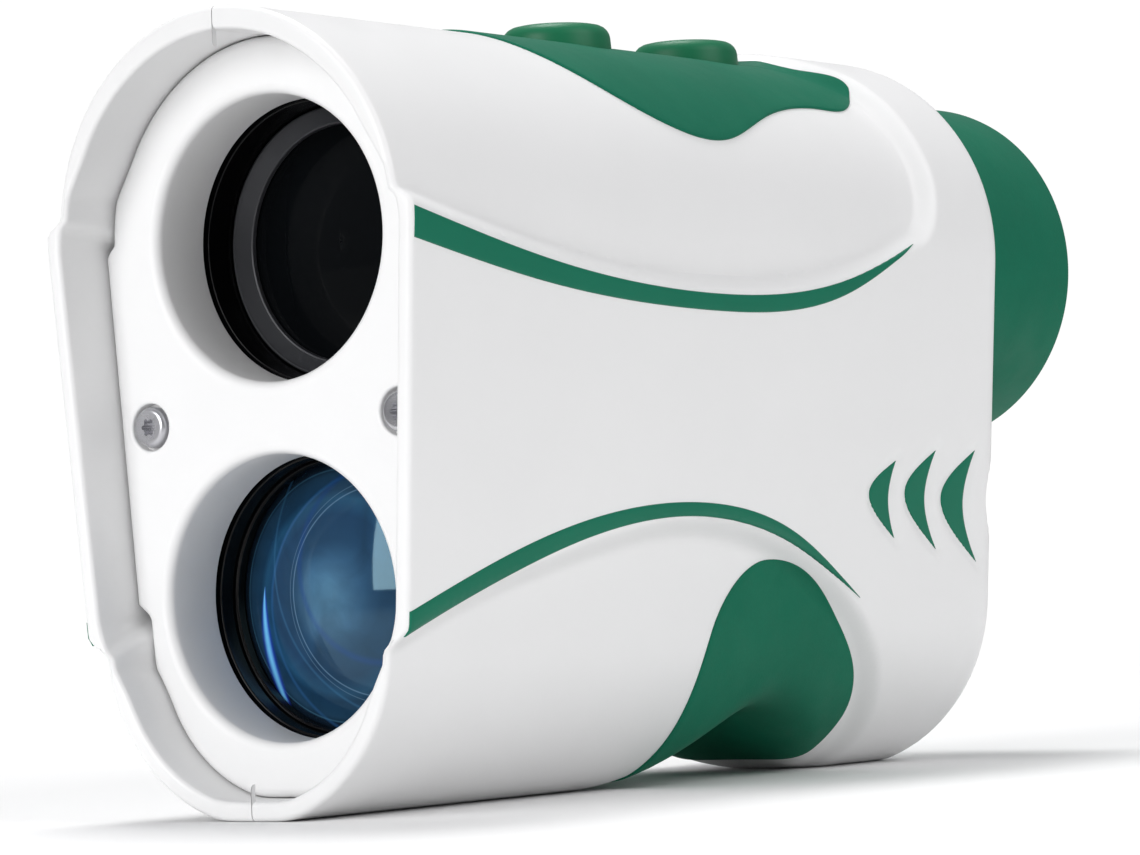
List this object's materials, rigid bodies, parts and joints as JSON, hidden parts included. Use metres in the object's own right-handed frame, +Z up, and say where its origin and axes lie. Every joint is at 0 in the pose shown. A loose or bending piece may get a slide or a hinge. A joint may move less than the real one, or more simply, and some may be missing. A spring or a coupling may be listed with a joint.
{
  "type": "laser rangefinder",
  "caption": "Hand-held single-eye laser rangefinder with a hooded lens window plate, two top buttons, a turning rubber eyecup and a twist-off battery cap.",
  "frame": {"origin": "bottom centre of the bounding box, at the height of the flat strips that it stands on", "axes": "+Z up, the lenses look along -Y, +X is the left-hand side of a person looking through it"},
  "size_m": [0.041, 0.116, 0.0721],
  "materials": {
    "white_shell": "satin moulded",
    "green_trim": "satin moulded",
    "green_rubber": "soft touch",
    "black_plastic": "matte",
    "black_metal": "black anodised",
    "screw_steel": "plated",
    "gold_metal": "plated",
    "circuit_board": "solder mask",
    "cable_film": "film",
    "battery_wrap": "shrink sleeve",
    "seal_rubber": "moulded",
    "clear_glass": "polished",
    "dark_glass": "coated",
    "blue_glass": "blue coated"
  },
  "bodies": {
    "housing": {"left_shell": "white_shell", "right_shell": "white_shell", "front_plate": "white_shell", "plate_screws": "screw_steel", "housing_screws": "screw_steel", "top_pad": "green_trim", "upper_stripe_left": "green_trim", "upper_stripe_right": "green_trim", "lower_stripe_left": "green_trim", "lower_stripe_right": "green_trim", "crescents_left": "green_trim", "crescents_right": "green_trim", "grip_insert": "green_rubber", "front_switch": "black_plastic", "rear_switch": "black_plastic", "button_board": "circuit_board", "main_board": "circuit_board", "receiver_board": "circuit_board", "processor_chip": "black_plastic", "buzzer": "black_plastic", "ribbon_cable": "cable_film", "objective_barrel": "black_metal", "objective_ring": "black_metal", "receiver_barrel": "black_metal", "receiver_ring": "black_metal", "eyepiece_tube": "black_metal", "objective_lens": "dark_glass", "objective_rear_lens": "clear_glass", "receiver_lens": "blue_glass", "receiver_filter": "blue_glass", "front_prism": "clear_glass", "rear_prism": "clear_glass", "reticle_display": "clear_glass", "prism_cage": "black_plastic", "optics_chassis": "black_plastic", "detector": "screw_steel", "laser_diode": "gold_metal", "shield_can": "screw_steel", "eyepiece_seal": "seal_rubber", "battery": "battery_wrap", "battery_sleeve": "black_plastic", "battery_spring": "screw_steel"},
    "front_button": {"front_button": "green_rubber", "front_plunger": "black_plastic"},
    "rear_button": {"rear_button": "green_rubber", "rear_plunger": "black_plastic"},
    "eyecup": {"eyecup": "green_rubber", "diopter_ring": "black_plastic"},
    "lens_carrier": {"lens_cell": "black_metal", "field_lens": "clear_glass", "eye_lens": "clear_glass", "eye_lens_ring": "black_metal"},
    "battery_cap": {"battery_cap": "white_shell", "cap_contact": "gold_metal", "cap_seal": "seal_rubber"}
  },
  "joints": [
    {"name": "front_button_press", "type": "slide", "parent": "housing", "child": "front_button", "axis": [0, 0, -1], "range_m": [0, 0.0005], "stiffness_N_per_m": 400, "springref_m": -0.002},
    {"name": "rear_button_press", "type": "slide", "parent": "housing", "child": "rear_button", "axis": [0, 0, -1], "range_m": [0, 0.0005], "stiffness_N_per_m": 400, "springref_m": -0.002},
    {"name": "diopter_turn", "type": "hinge", "parent": "housing", "child": "eyecup", "pos_m": [0, 0.049, 0.0503], "axis": [0, 1, 0], "range_deg": [-60, 60]},
    {"name": "diopter_focus", "type": "slide", "parent": "housing", "child": "lens_carrier", "axis": [0, 1, 0], "range_m": [-0.00125, 0.00125]},
    {"name": "battery_cap_turn", "type": "hinge", "parent": "housing", "child": "battery_cap", "pos_m": [0, 0.04, 0.0195], "axis": [0, 1, 0], "range_deg": [0, 90]}
  ],
  "couplings": [
    {"joint": "diopter_focus", "follows": "diopter_turn", "m_per_rad": 0.001146}
  ]
}
